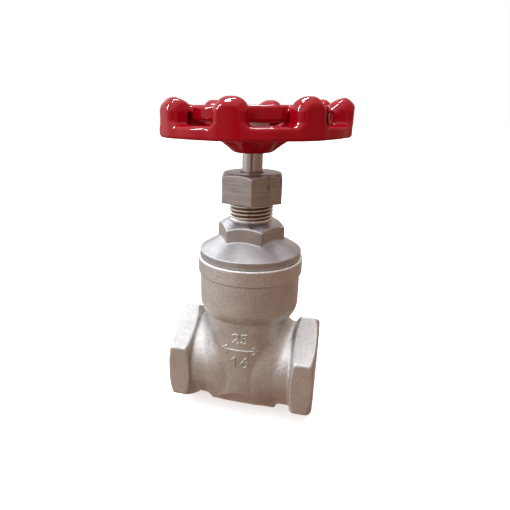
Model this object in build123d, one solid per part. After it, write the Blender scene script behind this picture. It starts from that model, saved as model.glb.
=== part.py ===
from build123d import *
from math import radians, sqrt, tan
import os

# Screwed-bonnet gate valve for one-inch pipe, with a stem that turns without rising.
# Millimetres. X runs along the pipe and Z up the stem; the origin is where they cross.
# The gate is drawn closed.

# ---- pipe ends ----
face_to_face = 62.8
socket_radius = 15.15       # crests of the inside pipe thread
socket_depth = 14.0
socket_mouth_cut = 1.5      # countersink that leads the pipe in
end_wall = 5.35             # from the thread's crests to each flat of the hexagon
end_length = 9.7            # length of each hexagon, measured on a flat
end_corner_cut = 1.6        # how far the turned chamfer shortens each corner
end_edge_round = 1.8        # rounding of the six cast edges
port_wall = 3.75            # round neck between hexagon and chamber

# ---- inside of the body ----
flow_radius = 12.5
seat_width = 3.1            # land round the bore on each side
seat_height = 2.2           # how far each land stands in from the chamber's end wall
wedge_angle = 4.0           # tilt of each seat from the vertical
seat_overhang = 0.2         # how far the boss stands past the seats' planes, at the pipe axis
pocket_gap = 1.8            # room round the gate's edge
well_gap = 1.7              # room round the gate as it rises
guide_rib_half_width = 1.2
guide_rib_depth = 1.2       # how far each rib reaches into the gate's groove
guide_rib_low_end = 5.0     # below the pipe axis
guide_clearance = 0.3
bonnet_thread_step = 1.1    # thread's radius over the well's
bonnet_thread_length = 10.0

# ---- outside of the chamber ----
chamber_wall = 4.2          # front, back and bottom
chamber_end_wall = 3.4      # along the pipe, at the pipe axis
chamber_widening = 4.9      # how much wider each side is at the neck's base
foot_stand = 0.4            # pad along the underside, below the chamber
foot_overhang = 2.7         # beyond the chamber, along the pipe
foot_half_depth = 10.0
foot_corner = 2.0
neck_wall = 3.3             # round neck, over the bonnet thread
neck_rise = 1.5             # neck's underside, above the hexagons
neck_rounding = 9.0
lip_stand = 0.85            # rim round the mouth, over the neck
lip_height = 6.4
lip_step = 0.5
lip_round = 0.7

# ---- gate ----
wedge_overlap = 2.7         # gate's radius over the bore's
wedge_seat_clearance = 0.06
wedge_boss_wall = 3.15      # round the screw
wedge_boss_rise = 8.8       # boss above the disc
wedge_boss_round = 0.8
lift_beyond_bore = 2.5      # how much further than the bore's width the gate rises

# ---- stem ----
stem_radius = 4.1           # polished shank
screw_inset = 0.05          # screw's crests below the shank
screw_depth = 0.75
screw_pitch = 3.0
screw_crest = 1.1           # flat of each crest along the stem
screw_flank = 15.0          # degrees
screw_engagement = 9.4      # length of screw in the boss, gate closed
screw_end_gap = 0.4         # stem's end above the blind hole's floor, gate open
screw_run_out = 1.0         # screw above the boss, gate open
collar_step = 2.2           # collar's radius over the shank's
collar_length = 3.0
collar_round = 0.3
square_step = 2.2           # driving square's side under the shank's diameter
stud_step = 0.05            # threaded end's radius under half the square's side
stud_chamfer = 0.5
screw_fit = 0.06            # radial clearance of the screw in the gate
running_fit = 0.05          # radial clearance of turning and sliding pieces
stud_bore_fit = 0.05
face_gap = 0.03             # end clearance of the collar

# ---- bonnet ----
gasket_thickness = 0.5
gasket_width = 2.3
disc_inset = 0.79           # disc's edge inside the lip's
disc_edge = 2.6             # height of the disc's vertical edge
disc_top_round = 0.5
disc_under_round = 0.3
dome_height = 3.8           # from the disc's edge to the hexagon's corners
dome_lap = 0.4
bonnet_hex_wall = 3.35      # from the gland thread to each flat
bonnet_hex_height = 5.9     # at the corners
bonnet_hex_turn = 28.3
bonnet_collar_step = 0.6    # round shoulder over the gland thread
bonnet_collar_height = 3.0
skirt_wall = 2.25
skirt_gap = 0.6             # under the skirt
ceiling_step = 1.4          # flat of the ceiling, over the boss
ceiling_gap = 1.8           # ceiling above the screw
ceiling_fall = 5.8
mouth_under_ceiling = 3.8   # body's top below the ceiling
bridge_height = 6.5         # metal between ceiling and stuffing box
gland_thread_wall = 2.5     # from the box to the thread's crests
gland_thread_pitch = 1.5
gland_thread_depth = 0.8
gland_thread_crest = 0.25
gland_thread_flank = 28.0   # degrees
box_width = 2.4             # room for packing round the shank
neck_length = 11.2          # threaded neck above the shoulder

# ---- packing ----
washer_thickness = 0.6
packing_ring_height = 1.2
packing_vee_height = 1.6
packing_vee_count = 3
packing_vee_rise = 0.7      # how far each chevron peaks above its edges

# ---- gland and its nut ----
gland_stand = 3.8           # gland above the neck
gland_chamfer = 0.3
nut_wall = 2.8              # from the gland thread to each flat
nut_height = 11.7
nut_grip = 3.9              # nut's lap over the neck
nut_crown = 1.4             # height of the chamfer at its corners
nut_turn = 10.9
nut_hole_gap = 0.8          # round the shank
nut_mouth_cut = 1.6

# ---- handwheel ----
lobe_count = 8
wheel_radius = 37.0         # to the lobes' outer ends
wheel_turn = -1.5           # lobes' turn from the front, gate closed
shank_showing = 7.9         # shank between nut and handwheel
lobe_stand = 0.8            # lobes' ends beyond the rim
rim_width = 6.3
rim_height = 4.4
rim_round = 1.3
rim_under_round = 0.8
lobe_height = 13.7          # from the rim's underside
lobe_half_width = 5.3
lobe_nose = 5.2             # rounding where a lobe's top turns down to the rim
lobe_shoulder = 1.8         # rounding where its top slopes down to the ring
lobe_arch_round = 4.9       # rounding of each side of its arched top
lobe_lead = 0.9             # outer top's inner edge over the rim's bore
lobe_corner = 2.4           # rounding of its outer end, seen from above
lobe_bridge = 5.2           # depth of the bridge to the ring
ring_gap = 1.6              # slit between rim and raised ring
ring_width = 4.1
ring_height = 5.5
ring_drop = 2.7             # ring's top below the lobes'
ring_fall = 0.4             # how much the ring's top falls inward
hub_radius = 7.85
hub_height = 8.8
hub_drop = 6.0              # hub's underside below the rim's
hub_flare = 4.45            # how much wider the flare is than the hub
hub_flare_height = 3.4
hub_bell = 1.9              # how far the hub swells under the plate
hub_top_drop = 1.4          # height of its slope up to the plate
spoke_half_width = 2.2
spoke_inset = 0.6           # spokes' ends inside the rim and ring
spoke_dish_width = 6.0

# ---- what holds the handwheel on ----
plate_radius = 11.0
plate_thickness = 0.4
flat_washer_width = 3.05
flat_washer_thickness = 1.0
lock_washer_width = 2.45
lock_washer_thickness = 1.2
lock_washer_split = 0.8
lock_washer_slant = 30.0
wheel_nut_wall = 2.05       # from the stud to each flat
wheel_nut_height = 5.0
wheel_nut_chamfer = 0.7
wheel_nut_turn = 12.0
stud_stand = 0.7            # stud showing above the nut

# ---- worked out: round the stem ----
screw_radius = stem_radius - screw_inset
wedge_boss_radius = screw_radius + wedge_boss_wall
collar_radius = stem_radius + collar_step
square_flats = 2 * stem_radius - square_step
stud_radius = square_flats / 2 - stud_step
stem_bore = stem_radius + running_fit
box_radius = stem_radius + box_width
packing_outer = box_radius - running_fit
gland_thread_radius = box_radius + gland_thread_wall
bonnet_collar_radius = gland_thread_radius + bonnet_collar_step
bonnet_hex_flats = 2 * (gland_thread_radius + bonnet_hex_wall)
ceiling_radius = wedge_boss_radius + ceiling_step
nut_flats = 2 * (gland_thread_radius + nut_wall)
nut_hole_radius = stem_radius + nut_hole_gap

# ---- worked out: across the pipe and along it ----
tilt = tan(radians(wedge_angle))
body_end = face_to_face / 2
end_start = body_end - end_length
hex_flats = 2 * (socket_radius + end_wall)
port_neck_radius = socket_radius + port_wall
seat_radius = flow_radius + seat_width
wedge_radius = flow_radius + wedge_overlap
pocket_reach = wedge_radius + pocket_gap
wedge_half_gap = wedge_boss_radius - seat_overhang      # from the middle plane to each seat
pocket_half_width = wedge_half_gap + seat_height
guide_rib_reach = wedge_radius - guide_rib_depth
well_radius = wedge_radius + well_gap
bonnet_thread_radius = well_radius + bonnet_thread_step
chamber_reach = pocket_reach + chamber_wall
chamber_half_width = pocket_half_width + chamber_end_wall
foot_reach = chamber_reach + foot_stand
foot_half_width = chamber_half_width + foot_overhang
neck_radius = bonnet_thread_radius + neck_wall
lip_radius = neck_radius + lip_stand
gasket_outer_radius = bonnet_thread_radius + gasket_width
disc_radius = lip_radius - disc_inset
skirt_inner_radius = bonnet_thread_radius - running_fit - skirt_wall

# ---- worked out: heights, from the pipe axis up ----
gate_lift = 2 * flow_radius + lift_beyond_bore
wedge_boss_top = wedge_radius + wedge_boss_rise
screw_bottom = wedge_boss_top - screw_engagement
wedge_pocket_floor = screw_bottom - gate_lift - screw_end_gap
screw_top = wedge_boss_top + gate_lift + screw_run_out
ceiling_height = screw_top + ceiling_gap
ceiling_spring = ceiling_height - ceiling_fall
body_top = ceiling_height - mouth_under_ceiling
lip_base = body_top - lip_height
neck_base = max(hex_flats / 2, port_neck_radius, chamber_reach - neck_rise) + neck_rise
well_floor = neck_base + 3.0
thread_floor = body_top - bonnet_thread_length
guide_rib_top = thread_floor - 1.5
skirt_base = thread_floor + skirt_gap
disc_base = body_top + gasket_thickness
disc_top = disc_base + disc_edge
bonnet_hex_base = disc_top + dome_height
bonnet_hex_shoulder = bonnet_hex_base + bonnet_hex_height
bonnet_collar_top = bonnet_hex_shoulder + bonnet_collar_height
box_floor = ceiling_height + bridge_height
neck_top = bonnet_collar_top + neck_length
collar_base = box_floor + washer_thickness + face_gap
collar_top = collar_base + collar_length
upper_washer_base = collar_top + face_gap
packing_base = upper_washer_base + washer_thickness
vee_base = packing_base + packing_ring_height
vee_top = vee_base + packing_vee_count * packing_vee_height
gland_base = vee_top + packing_ring_height
gland_top = neck_top + gland_stand
nut_base = neck_top - nut_grip
nut_top = nut_base + nut_height
nut_corner_top = nut_top - nut_crown
hub_base = nut_top + shank_showing
hub_top = hub_base + hub_height
wheel_base = hub_base + hub_drop
rim_top = wheel_base + rim_height
lobe_top = wheel_base + lobe_height
lobe_arch = lobe_top - lobe_bridge
ring_top = lobe_top - ring_drop
ring_base = ring_top - ring_height
flat_washer_base = hub_top + plate_thickness
lock_washer_base = flat_washer_base + flat_washer_thickness
wheel_nut_base = lock_washer_base + lock_washer_thickness
stem_top = wheel_nut_base + wheel_nut_height + stud_stand

# ---- worked out: across the handwheel ----
rim_radius = wheel_radius - lobe_stand
rim_inner_radius = rim_radius - rim_width
ring_outer_radius = rim_inner_radius - ring_gap
ring_inner_radius = ring_outer_radius - ring_width
hub_flare_radius = hub_radius + hub_flare
lobe_top_start = rim_inner_radius + lobe_lead
flat_washer_radius = stud_radius + flat_washer_width
lock_washer_radius = stud_radius + lock_washer_width
wheel_nut_flats = 2 * (stud_radius + wheel_nut_wall)

past = 1.0                  # how far each cutting shape runs past what it cuts
low = (Align.CENTER, Align.CENTER, Align.MIN)


def rod(radius, bottom, top):
    """Upright round bar on the stem axis."""
    return Pos(0, 0, bottom) * Cylinder(radius, top - bottom, align=low)


def tube(inner, outer, bottom, top):
    return rod(outer, bottom, top) - rod(inner, bottom, top)


def outline(points, roundings=()):
    """Closed face from points, with some corners rounded: each rounding is (corner, radius)."""
    face = make_face(Polyline(*points, close=True))
    for corner, radius in roundings:
        face = fillet(face.vertices().sort_by_distance((*corner, 0))[0], radius)
    return face


def turned(points, roundings=()):
    """Body of revolution about the stem axis from (radius, height) points."""
    return revolve(Plane.XZ * outline(points, roundings), Axis.Z)


def cross_rod(radius, start, end):
    """Round bar on the pipe axis."""
    return Plane.YZ.offset(start) * Cylinder(radius, end - start, align=low)


def hexagon(flats, bottom, top, turn):
    """Upright hexagonal bar, with one corner `turn` degrees round from the front."""
    return extrude(Pos(0, 0, bottom) * RegularPolygon(flats / 2, 6, False, turn - 90), top - bottom)


# ---- body ----
def pipe_end():
    """Hexagon at the +X end, its corners turned away on both faces."""
    corner_radius = hex_flats / sqrt(3)
    bar = fillet(RegularPolygon(hex_flats / 2, 6, False, 30).vertices(), end_edge_round)
    blank = outline([
        (end_start, 0),
        (end_start, hex_flats / 2),
        (end_start + end_corner_cut, corner_radius),
        (body_end - end_corner_cut, corner_radius),
        (body_end, hex_flats / 2),
        (body_end, 0),
    ])
    return extrude(Plane.YZ.offset(end_start) * bar, end_length) & revolve(blank, Axis.X)


def chamber_shell():
    """Outside of the chamber: round seen from above, narrowing towards the pipe axis."""
    top = neck_base + neck_rounding
    half_width_top = chamber_half_width + chamber_widening * top / neck_base
    front = outline([
        (-chamber_half_width, -foot_reach),
        (chamber_half_width, -foot_reach),
        (chamber_half_width, 0),
        (half_width_top, top),
        (-half_width_top, top),
        (-chamber_half_width, 0),
    ])
    side = Circle(chamber_reach) + Pos(0, top / 2) * Rectangle(2 * chamber_reach, top)
    shell = rod(neck_radius, -foot_reach, top)
    shell = shell & extrude(Plane.XZ * front, neck_radius, both=True)
    return shell & extrude(Plane.YZ * side, neck_radius, both=True)


def foot():
    """Pad along the underside, where the casting was fed."""
    bar = cross_rod(foot_reach, -foot_half_width, foot_half_width)
    pad = Pos(0, 0, -foot_reach) * Box(2 * foot_half_width, 2 * foot_half_depth, foot_reach)
    return fillet((bar & pad).edges().filter_by(Axis.Z), foot_corner)


def body_outside():
    neck = turned([
        (0, neck_base),
        (neck_radius, neck_base),
        (neck_radius, lip_base - lip_step),
        (lip_radius, lip_base),
        (lip_radius, body_top),
        (0, body_top),
    ], [((neck_radius, neck_base), neck_rounding), ((lip_radius, body_top), lip_round)])
    ports = cross_rod(port_neck_radius, -end_start - past, end_start + past)
    ends = pipe_end() + mirror(pipe_end(), Plane.YZ)
    return neck, ports, ends, chamber_shell(), foot()


def seat(side):
    """Land round the bore on one side, tilted to meet the gate."""
    reach = seat_radius + past
    back = pocket_half_width + past
    near = wedge_half_gap - tilt * reach
    far = wedge_half_gap + tilt * reach
    slab = outline([(near, -reach), (back, -reach), (back, reach), (far, reach)])
    block = extrude(Plane.XZ * slab, reach, both=True) & cross_rod(seat_radius, 0, back)
    return block if side > 0 else mirror(block, Plane.YZ)


def body_inside():
    """Everything that is hollow, less the seats and the guide ribs."""
    pocket = cross_rod(pocket_reach, -pocket_half_width, pocket_half_width)
    pocket += Box(2 * pocket_half_width, 2 * pocket_reach, neck_base + neck_rounding, align=low)
    well = rod(well_radius, well_floor, thread_floor + past)
    well += rod(bonnet_thread_radius, thread_floor, body_top + past)
    hollow = pocket + well - seat(1) - seat(-1)
    rib_length = guide_rib_top + guide_rib_low_end
    rib = Box(2 * guide_rib_half_width, 2 * (pocket_reach + past), rib_length, align=low)
    gap = Box(2 * guide_rib_half_width, 2 * guide_rib_reach, rib_length, align=low)
    hollow -= Pos(0, 0, -guide_rib_low_end) * (rib - gap)
    hollow += cross_rod(flow_radius, -body_end, body_end)
    for side in (1, -1):
        socket = cross_rod(socket_radius, body_end - socket_depth, body_end + past)
        mouth = outline([
            (body_end - socket_mouth_cut, 0),
            (body_end - socket_mouth_cut, socket_radius),
            (body_end + past, socket_radius + socket_mouth_cut + past),
            (body_end + past, 0),
        ])
        socket += revolve(mouth, Axis.X)
        hollow += socket if side > 0 else mirror(socket, Plane.YZ)
    return hollow


def make_body():
    neck, ports, ends, chamber, pad = body_outside()
    shell = neck + ports + chamber
    shell = shell + ends + pad
    return shell - body_inside()


# ---- gate ----
def make_wedge():
    """Solid wedge with a tall boss that the stem's screw runs into."""
    gap = wedge_seat_clearance
    low_half = wedge_half_gap - gap - tilt * wedge_radius
    high_half = wedge_half_gap - gap + tilt * wedge_radius
    taper = outline([
        (-low_half, -wedge_radius),
        (low_half, -wedge_radius),
        (high_half, wedge_radius),
        (-high_half, wedge_radius),
    ])
    disc = cross_rod(wedge_radius, -pocket_half_width, pocket_half_width)
    disc = disc & extrude(Plane.XZ * taper, wedge_radius, both=True)
    boss = fillet(rod(wedge_boss_radius, 0, wedge_boss_top).edges().group_by(Axis.Z)[-1], wedge_boss_round)
    groove_floor = guide_rib_reach - guide_clearance
    groove_half = guide_rib_half_width + guide_clearance
    gate_width = 2 * (wedge_radius + past)
    wide = Box(2 * groove_half, gate_width, gate_width)
    core = Box(2 * groove_half, 2 * groove_floor, gate_width)
    gate = disc + boss - (wide - core)
    return gate - rod(screw_radius + screw_fit, wedge_pocket_floor, wedge_boss_top + past)


# ---- threads ----
def thread_groove(radius, depth, pitch, crest, flank, bottom, top, left_hand=False):
    """Helical groove that leaves a thread's crests standing on a bar of that radius."""
    path = Helix(pitch, top - bottom, radius, lefthand=left_hand)
    half_out = (pitch - crest) / 2
    half_in = half_out - depth * tan(radians(flank))
    beyond = past / 2
    cutter = make_face(Polyline(
        (beyond, -half_out),
        (beyond, half_out),
        (0, half_out),
        (-depth, half_in),
        (-depth, -half_in),
        (0, -half_out),
        close=True,
    ))
    start = Plane(origin=path @ 0, x_dir=(1, 0, 0), z_dir=(0, -1, 0))
    return Pos(0, 0, bottom) * sweep(start * cutter, path=path, is_frenet=True)


# ---- stem ----
def threaded_bar(radius, depth, pitch, crest, flank, bottom, top, left_hand=False):
    """Round bar with a thread that runs out of both of its ends."""
    start = bottom - pitch / 2
    end = top + pitch / 2
    return rod(radius, bottom, top) - thread_groove(radius, depth, pitch, crest, flank, start, end, left_hand)


def make_stem():
    screw = threaded_bar(screw_radius, screw_depth, screw_pitch, screw_crest, screw_flank,
                         screw_bottom, screw_top, left_hand=True)
    shank = rod(stem_radius, screw_top, hub_base)
    collar = fillet(rod(collar_radius, collar_base, collar_top).edges(), collar_round)
    square = Pos(0, 0, hub_base) * Box(square_flats, square_flats, hub_top - hub_base, align=low)
    square = square & rod(stem_radius, hub_base, hub_top)
    stud = chamfer(rod(stud_radius, hub_top - past / 2, stem_top).edges().group_by(Axis.Z)[-1], stud_chamfer)
    return screw + shank + collar + square + stud


# ---- bonnet ----
def make_bonnet():
    hex_corner = bonnet_hex_flats / sqrt(3)
    slope = (bonnet_collar_top - bonnet_hex_shoulder) / (hex_corner - bonnet_collar_radius)
    dome_rise = (dome_height + dome_lap) / (disc_radius - hex_corner)
    dome_in = bonnet_collar_radius
    shell = turned([
        (0, skirt_base),
        (bonnet_thread_radius - running_fit, skirt_base),
        (bonnet_thread_radius - running_fit, disc_base),
        (disc_radius, disc_base),
        (disc_radius, disc_top),
        (dome_in, disc_top + dome_rise * (disc_radius - dome_in)),
        (bonnet_collar_radius, bonnet_collar_top),
        (gland_thread_radius, bonnet_collar_top),
        (gland_thread_radius, neck_top),
        (0, neck_top),
    ], [((disc_radius, disc_top), disc_top_round), ((disc_radius, disc_base), disc_under_round)])
    cone = turned([
        (0, disc_base + past),
        (hex_corner + past, disc_base + past),
        (hex_corner + past, bonnet_hex_shoulder - slope),
        (bonnet_collar_radius, bonnet_collar_top),
        (0, bonnet_collar_top),
    ])
    hex_part = hexagon(bonnet_hex_flats, disc_base + past, bonnet_collar_top, bonnet_hex_turn) & cone
    hollow = turned([
        (0, skirt_base - past),
        (skirt_inner_radius, skirt_base - past),
        (skirt_inner_radius, ceiling_spring),
        (ceiling_radius, ceiling_height),
        (stem_bore, ceiling_height),
        (stem_bore, box_floor),
        (box_radius, box_floor),
        (box_radius, neck_top + past),
        (0, neck_top + past),
    ])
    groove = thread_groove(
        gland_thread_radius, gland_thread_depth, gland_thread_pitch, gland_thread_crest,
        gland_thread_flank, bonnet_collar_top + gland_thread_pitch, neck_top,
    )
    return shell + hex_part - hollow - groove


def make_gasket():
    return tube(bonnet_thread_radius + running_fit, gasket_outer_radius, body_top, disc_base)


# ---- packing ----
def make_base_ring():
    middle = (stem_bore + packing_outer) / 2
    return turned([
        (stem_bore, packing_base),
        (packing_outer, packing_base),
        (packing_outer, vee_base),
        (middle, vee_base + packing_vee_rise),
        (stem_bore, vee_base),
    ])


def make_vee_ring(index):
    """One chevron of the packing, counted from the bottom."""
    base = vee_base + index * packing_vee_height
    top = base + packing_vee_height
    middle = (stem_bore + packing_outer) / 2
    return turned([
        (stem_bore, base),
        (middle, base + packing_vee_rise),
        (packing_outer, base),
        (packing_outer, top),
        (middle, top + packing_vee_rise),
        (stem_bore, top),
    ])


def make_top_ring():
    middle = (stem_bore + packing_outer) / 2
    return turned([
        (stem_bore, vee_top),
        (middle, vee_top + packing_vee_rise),
        (packing_outer, vee_top),
        (packing_outer, gland_base),
        (stem_bore, gland_base),
    ])


def make_gland():
    sleeve = tube(stem_bore, packing_outer, gland_base, gland_top)
    return chamfer(sleeve.edges().group_by(Axis.Z)[-1], gland_chamfer)


def make_packing_nut():
    corner = nut_flats / sqrt(3)
    crown = corner - (nut_top - nut_corner_top) * sqrt(3)
    blank = turned([
        (0, nut_base),
        (corner + past, nut_base),
        (corner + past, nut_corner_top - past / sqrt(3)),
        (crown, nut_top),
        (0, nut_top),
    ])
    bore = turned([
        (0, nut_base - past),
        (gland_thread_radius + nut_mouth_cut, nut_base - past),
        (gland_thread_radius + running_fit, nut_base + nut_mouth_cut - past),
        (gland_thread_radius + running_fit, gland_top),
        (nut_hole_radius, gland_top),
        (nut_hole_radius, nut_top + past),
        (0, nut_top + past),
    ])
    return (hexagon(nut_flats, nut_base, nut_top, nut_turn) & blank) - bore


# ---- handwheel ----
def wheel_lobe():
    """One knuckle: rises from the rim, rounds over and bridges in to the raised ring."""
    side = outline([
        (rim_inner_radius, wheel_base),
        (wheel_radius, wheel_base),
        (wheel_radius, lobe_top),
        (lobe_top_start, lobe_top),
        (ring_outer_radius - past, ring_top),
        (ring_inner_radius + past, ring_top - ring_fall),
        (ring_inner_radius + past, ring_base + past),
        (ring_outer_radius, ring_base + past),
        (ring_outer_radius, lobe_arch),
        (rim_inner_radius, lobe_arch),
    ], [((wheel_radius, lobe_top), lobe_nose), ((lobe_top_start, lobe_top), lobe_shoulder)])
    block = extrude(Plane.XZ * side, lobe_half_width, both=True)
    end = outline([
        (-lobe_half_width, wheel_base),
        (lobe_half_width, wheel_base),
        (lobe_half_width, lobe_top),
        (-lobe_half_width, lobe_top),
    ], [
        ((-lobe_half_width, lobe_top), lobe_arch_round),
        ((lobe_half_width, lobe_top), lobe_arch_round),
    ])
    arch = extrude(Plane.YZ * end, wheel_radius + past)
    plan = outline([
        (0, -lobe_half_width),
        (wheel_radius, -lobe_half_width),
        (wheel_radius, lobe_half_width),
        (0, lobe_half_width),
    ], [
        ((wheel_radius, -lobe_half_width), lobe_corner),
        ((wheel_radius, lobe_half_width), lobe_corner),
    ])
    return block & arch & extrude(Pos(0, 0, wheel_base) * plan, lobe_top)


def wheel_spoke():
    """Web that carries the rim and ring out from the hub, dished like the hub's flare."""
    web = outline([
        (hub_radius - past, hub_base + past / 2),
        (hub_flare_radius, hub_base + hub_flare_height),
        (hub_flare_radius + spoke_dish_width, wheel_base + past / 4),
        (rim_inner_radius + past, wheel_base + spoke_inset),
        (rim_inner_radius + past, rim_top - spoke_inset),
        (ring_outer_radius - spoke_inset, rim_top - spoke_inset),
        (ring_outer_radius - 2 * spoke_inset, ring_base + past),
        (ring_inner_radius + spoke_inset, ring_base + past),
        (ring_inner_radius - spoke_dish_width / 2, ring_base),
        (hub_radius - past, hub_top - hub_top_drop),
    ])
    return extrude(Plane.XZ * web, spoke_half_width, both=True)


def make_handwheel():
    rim = turned([
        (rim_inner_radius, wheel_base),
        (rim_radius, wheel_base),
        (rim_radius, rim_top),
        (rim_inner_radius, rim_top),
    ], [
        ((rim_radius, wheel_base), rim_under_round),
        ((rim_radius, rim_top), rim_round),
        ((rim_inner_radius, rim_top), rim_round),
    ])
    ring = turned([
        (ring_inner_radius, ring_base),
        (ring_outer_radius, ring_base),
        (ring_outer_radius, ring_top),
        (ring_inner_radius, ring_top),
    ], [((ring_outer_radius, ring_top), rim_round), ((ring_inner_radius, ring_top), rim_round)])
    hub = turned([
        (0, hub_base),
        (hub_radius, hub_base),
        (hub_radius + hub_bell, hub_base + hub_bell),
        (hub_radius + hub_bell, hub_top - hub_top_drop),
        (hub_radius + hub_bell - hub_top_drop, hub_top),
        (0, hub_top),
    ])
    wheel = rim + ring + hub
    for index in range(lobe_count):
        turn = Rot(0, 0, 360 / lobe_count * index + wheel_turn)
        wheel += turn * wheel_lobe()
        wheel += turn * wheel_spoke()
    socket = square_flats + 2 * stud_bore_fit
    hole = Box(socket, socket, 2 * (hub_top - hub_base), align=low)
    hole &= rod(stem_radius + stud_bore_fit, 0, hub_top)
    return wheel - Pos(0, 0, hub_base - past) * hole


def make_plate():
    return tube(stud_radius + stud_bore_fit, plate_radius, hub_top, flat_washer_base)


def make_flat_washer():
    return tube(stud_radius + stud_bore_fit, flat_washer_radius, flat_washer_base, lock_washer_base)


def make_lock_washer():
    ring = tube(stud_radius + stud_bore_fit, lock_washer_radius, lock_washer_base, wheel_nut_base)
    split = Pos(lock_washer_radius / 2, 0, lock_washer_base) * Rot(lock_washer_slant, 0, 0)
    return ring - split * Box(lock_washer_radius, lock_washer_split, 5 * lock_washer_thickness)


def make_wheel_nut():
    top = wheel_nut_base + wheel_nut_height
    corner = wheel_nut_flats / sqrt(3)
    blank = turned([
        (0, wheel_nut_base),
        (corner + past, wheel_nut_base),
        (corner + past, top - wheel_nut_chamfer - past),
        (corner - wheel_nut_chamfer, top),
        (0, top),
    ])
    bar = hexagon(wheel_nut_flats, wheel_nut_base, top, wheel_nut_turn) & blank
    return bar - rod(stud_radius + stud_bore_fit, 0, top + past)


# ---- write every piece ----
pieces = {
    "body": make_body(),
    "wedge": make_wedge(),
    "stem": make_stem(),
    "bonnet": make_bonnet(),
    "bonnet_gasket": make_gasket(),
    "lower_thrust_washer": tube(stem_bore, packing_outer, box_floor, box_floor + washer_thickness),
    "upper_thrust_washer": tube(stem_bore, packing_outer, upper_washer_base, packing_base),
    "packing_base_ring": make_base_ring(),
    "packing_top_ring": make_top_ring(),
    "gland_follower": make_gland(),
    "packing_nut": make_packing_nut(),
    "handwheel": make_handwheel(),
    "id_plate": make_plate(),
    "handwheel_washer": make_flat_washer(),
    "handwheel_lock_washer": make_lock_washer(),
    "handwheel_nut": make_wheel_nut(),
}
for index in range(packing_vee_count):
    pieces[f"packing_vee_ring_{index + 1}"] = make_vee_ring(index)

os.makedirs("parts", exist_ok=True)
for name, piece in pieces.items():
    export_step(piece, f"parts/{name}.step")
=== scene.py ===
from math import cos, hypot, pi, radians, sin, sqrt, tan

import bpy
import numpy as np
from mathutils import Matrix, Vector


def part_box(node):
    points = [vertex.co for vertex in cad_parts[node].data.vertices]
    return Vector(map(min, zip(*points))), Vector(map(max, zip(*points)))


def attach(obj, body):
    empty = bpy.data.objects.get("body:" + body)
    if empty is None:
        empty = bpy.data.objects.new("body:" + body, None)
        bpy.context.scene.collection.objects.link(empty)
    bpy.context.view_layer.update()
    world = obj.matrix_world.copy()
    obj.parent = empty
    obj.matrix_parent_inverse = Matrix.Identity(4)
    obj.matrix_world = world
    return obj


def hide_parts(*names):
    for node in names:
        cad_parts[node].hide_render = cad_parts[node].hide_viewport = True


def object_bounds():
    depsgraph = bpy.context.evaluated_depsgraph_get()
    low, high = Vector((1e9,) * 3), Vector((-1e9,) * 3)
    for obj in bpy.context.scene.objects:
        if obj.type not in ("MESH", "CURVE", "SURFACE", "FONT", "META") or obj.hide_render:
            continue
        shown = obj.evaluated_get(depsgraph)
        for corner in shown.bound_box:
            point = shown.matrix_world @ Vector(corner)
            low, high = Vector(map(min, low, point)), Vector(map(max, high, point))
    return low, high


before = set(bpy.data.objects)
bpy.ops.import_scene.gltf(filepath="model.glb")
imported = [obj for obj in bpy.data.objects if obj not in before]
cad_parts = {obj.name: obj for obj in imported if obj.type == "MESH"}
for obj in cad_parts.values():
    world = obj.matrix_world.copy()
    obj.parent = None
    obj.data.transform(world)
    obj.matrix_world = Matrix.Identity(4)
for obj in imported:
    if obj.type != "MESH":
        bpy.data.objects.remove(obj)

cadLow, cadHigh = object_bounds()
mm = 0.001
root3 = sqrt(3)
print("gate valve: frame loaded with", len(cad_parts), "nodes")


def boxOf(node):      # a node's corners in millimetres
    low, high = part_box(node)
    return np.array(low) / mm, np.array(high) / mm


# ---- camera ----
cameraSetup = {
    "place": (0.0338, -0.16982, 0.10879),
    "turn": 15.10,          # degrees to the left of the valve's front
    "tip": 19.93,           # degrees below the horizon
    "roll": 0.18,
    "lens": 29.963,
    "sensor": 36.0,
    "shift": (0.0625, 0.0160),
}


def makeCamera():
    data = bpy.data.cameras.new("camera")
    data.sensor_width = cameraSetup["sensor"]
    data.lens = cameraSetup["lens"]
    data.shift_x, data.shift_y = cameraSetup["shift"]
    data.clip_start = 0.01
    camera = bpy.data.objects.new("camera", data)
    aim = Matrix.Rotation(radians(cameraSetup["turn"]), 4, "Z")
    aim = aim @ Matrix.Rotation(radians(90 - cameraSetup["tip"]), 4, "X")
    aim = aim @ Matrix.Rotation(radians(cameraSetup["roll"]), 4, "Z")
    camera.matrix_world = Matrix.Translation(cameraSetup["place"]) @ aim
    bpy.context.scene.collection.objects.link(camera)
    bpy.context.scene.camera = camera


makeCamera()
bpy.context.scene.view_settings.view_transform = "Standard"
print("camera placed")


# ---- node trees: sockets that take arithmetic, and one way to add a node ----
class Value:
    def __init__(self, paint, socket):
        self.paint = paint
        self.socket = socket

    def __add__(self, other):
        return self.paint.maths("ADD", self, other)

    def __sub__(self, other):
        return self.paint.maths("SUBTRACT", self, other)

    def __rsub__(self, other):
        return self.paint.maths("SUBTRACT", other, self)

    def __mul__(self, other):
        return self.paint.maths("MULTIPLY", self, other)

    def __truediv__(self, other):
        return self.paint.maths("DIVIDE", self, other)

    __radd__ = __add__
    __rmul__ = __mul__


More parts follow.
